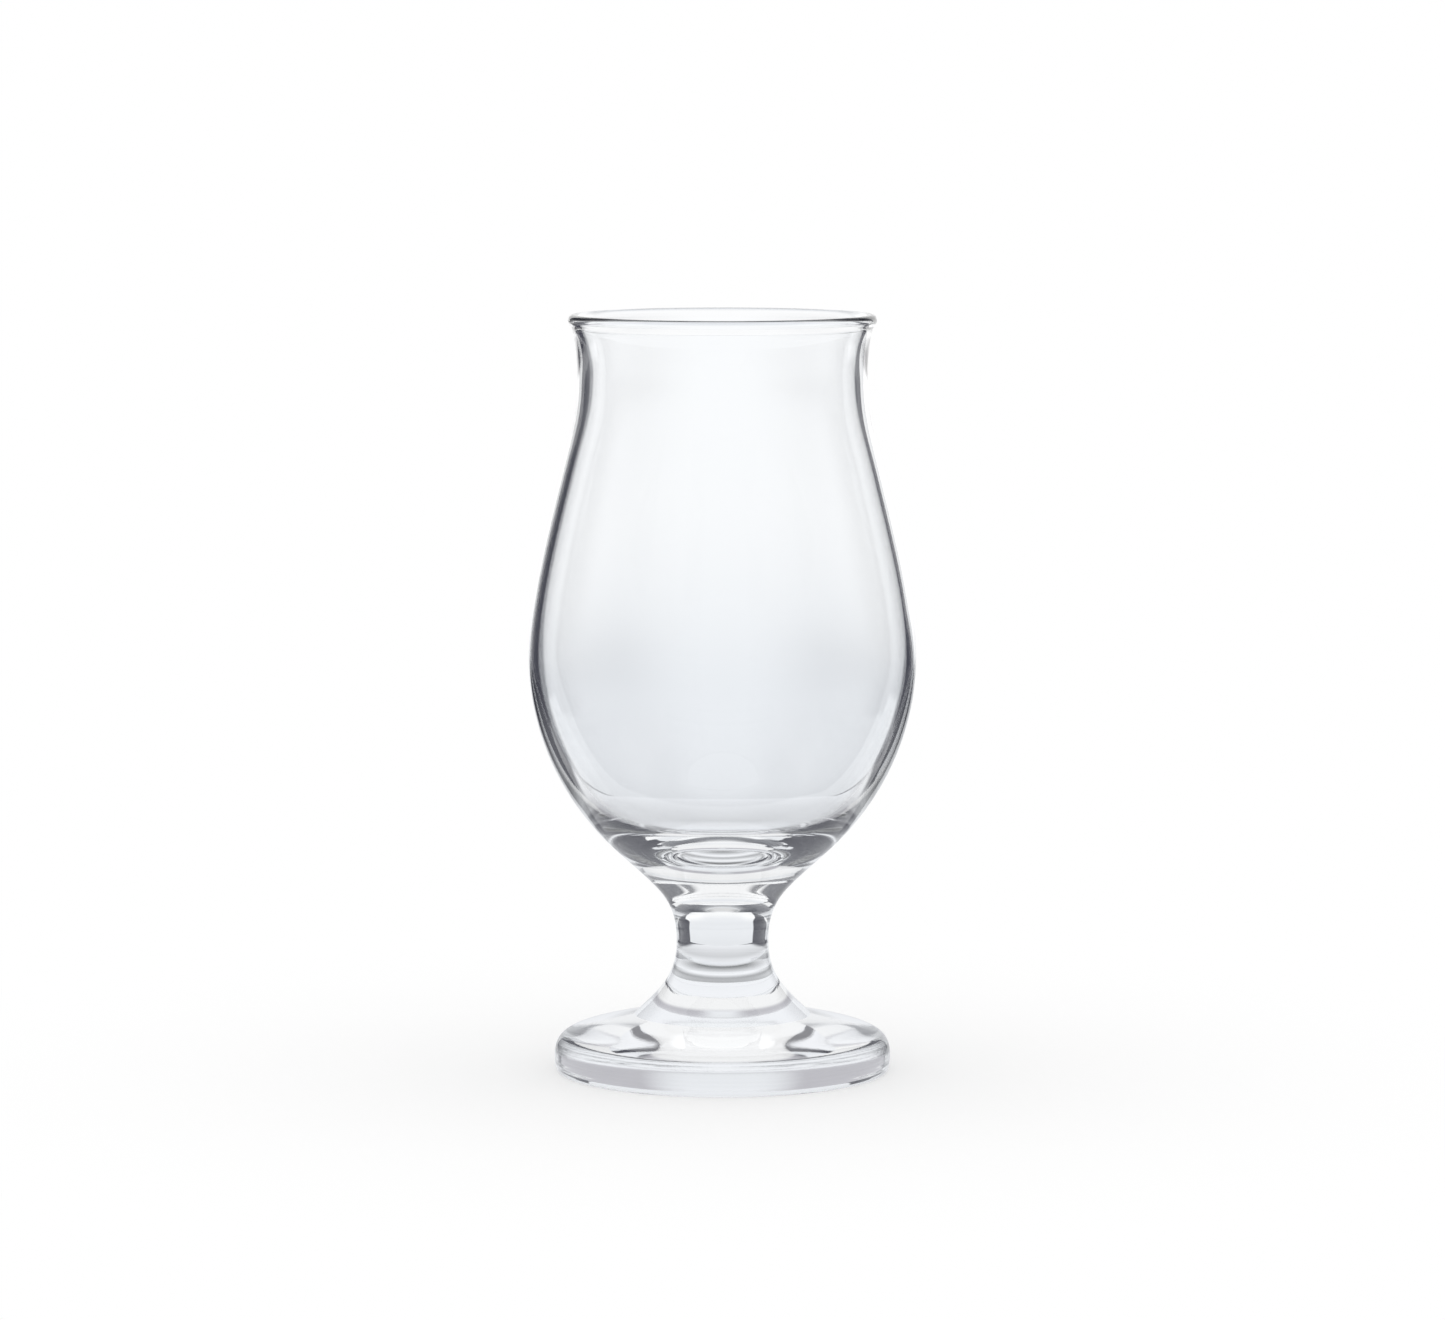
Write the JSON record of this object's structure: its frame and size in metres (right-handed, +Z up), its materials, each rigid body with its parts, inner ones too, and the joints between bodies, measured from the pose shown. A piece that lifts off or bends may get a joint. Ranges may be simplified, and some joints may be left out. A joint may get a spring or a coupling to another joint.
{
  "type": "stemmed beer glass",
  "caption": "Clear tulip-shaped beer glass with a flared rounded lip, a thick base, a short solid waisted stem and a round domed foot to stand on.",
  "frame": {"origin": "centre of the foot's underside, on the table that the glass stands on", "axes": "+Z up along the glass's axis, from the foot to the lip; -Y is the side seen in the picture"},
  "size_m": [0.071, 0.071, 0.1395],
  "materials": {
    "bowl_glass": "clear, fire-polished",
    "stem_glass": "clear, fire-polished",
    "foot_glass": "clear, pressed"
  },
  "bodies": {
    "root": {"bowl": "bowl_glass", "stem": "stem_glass", "foot": "foot_glass"}
  },
  "joints": []
}
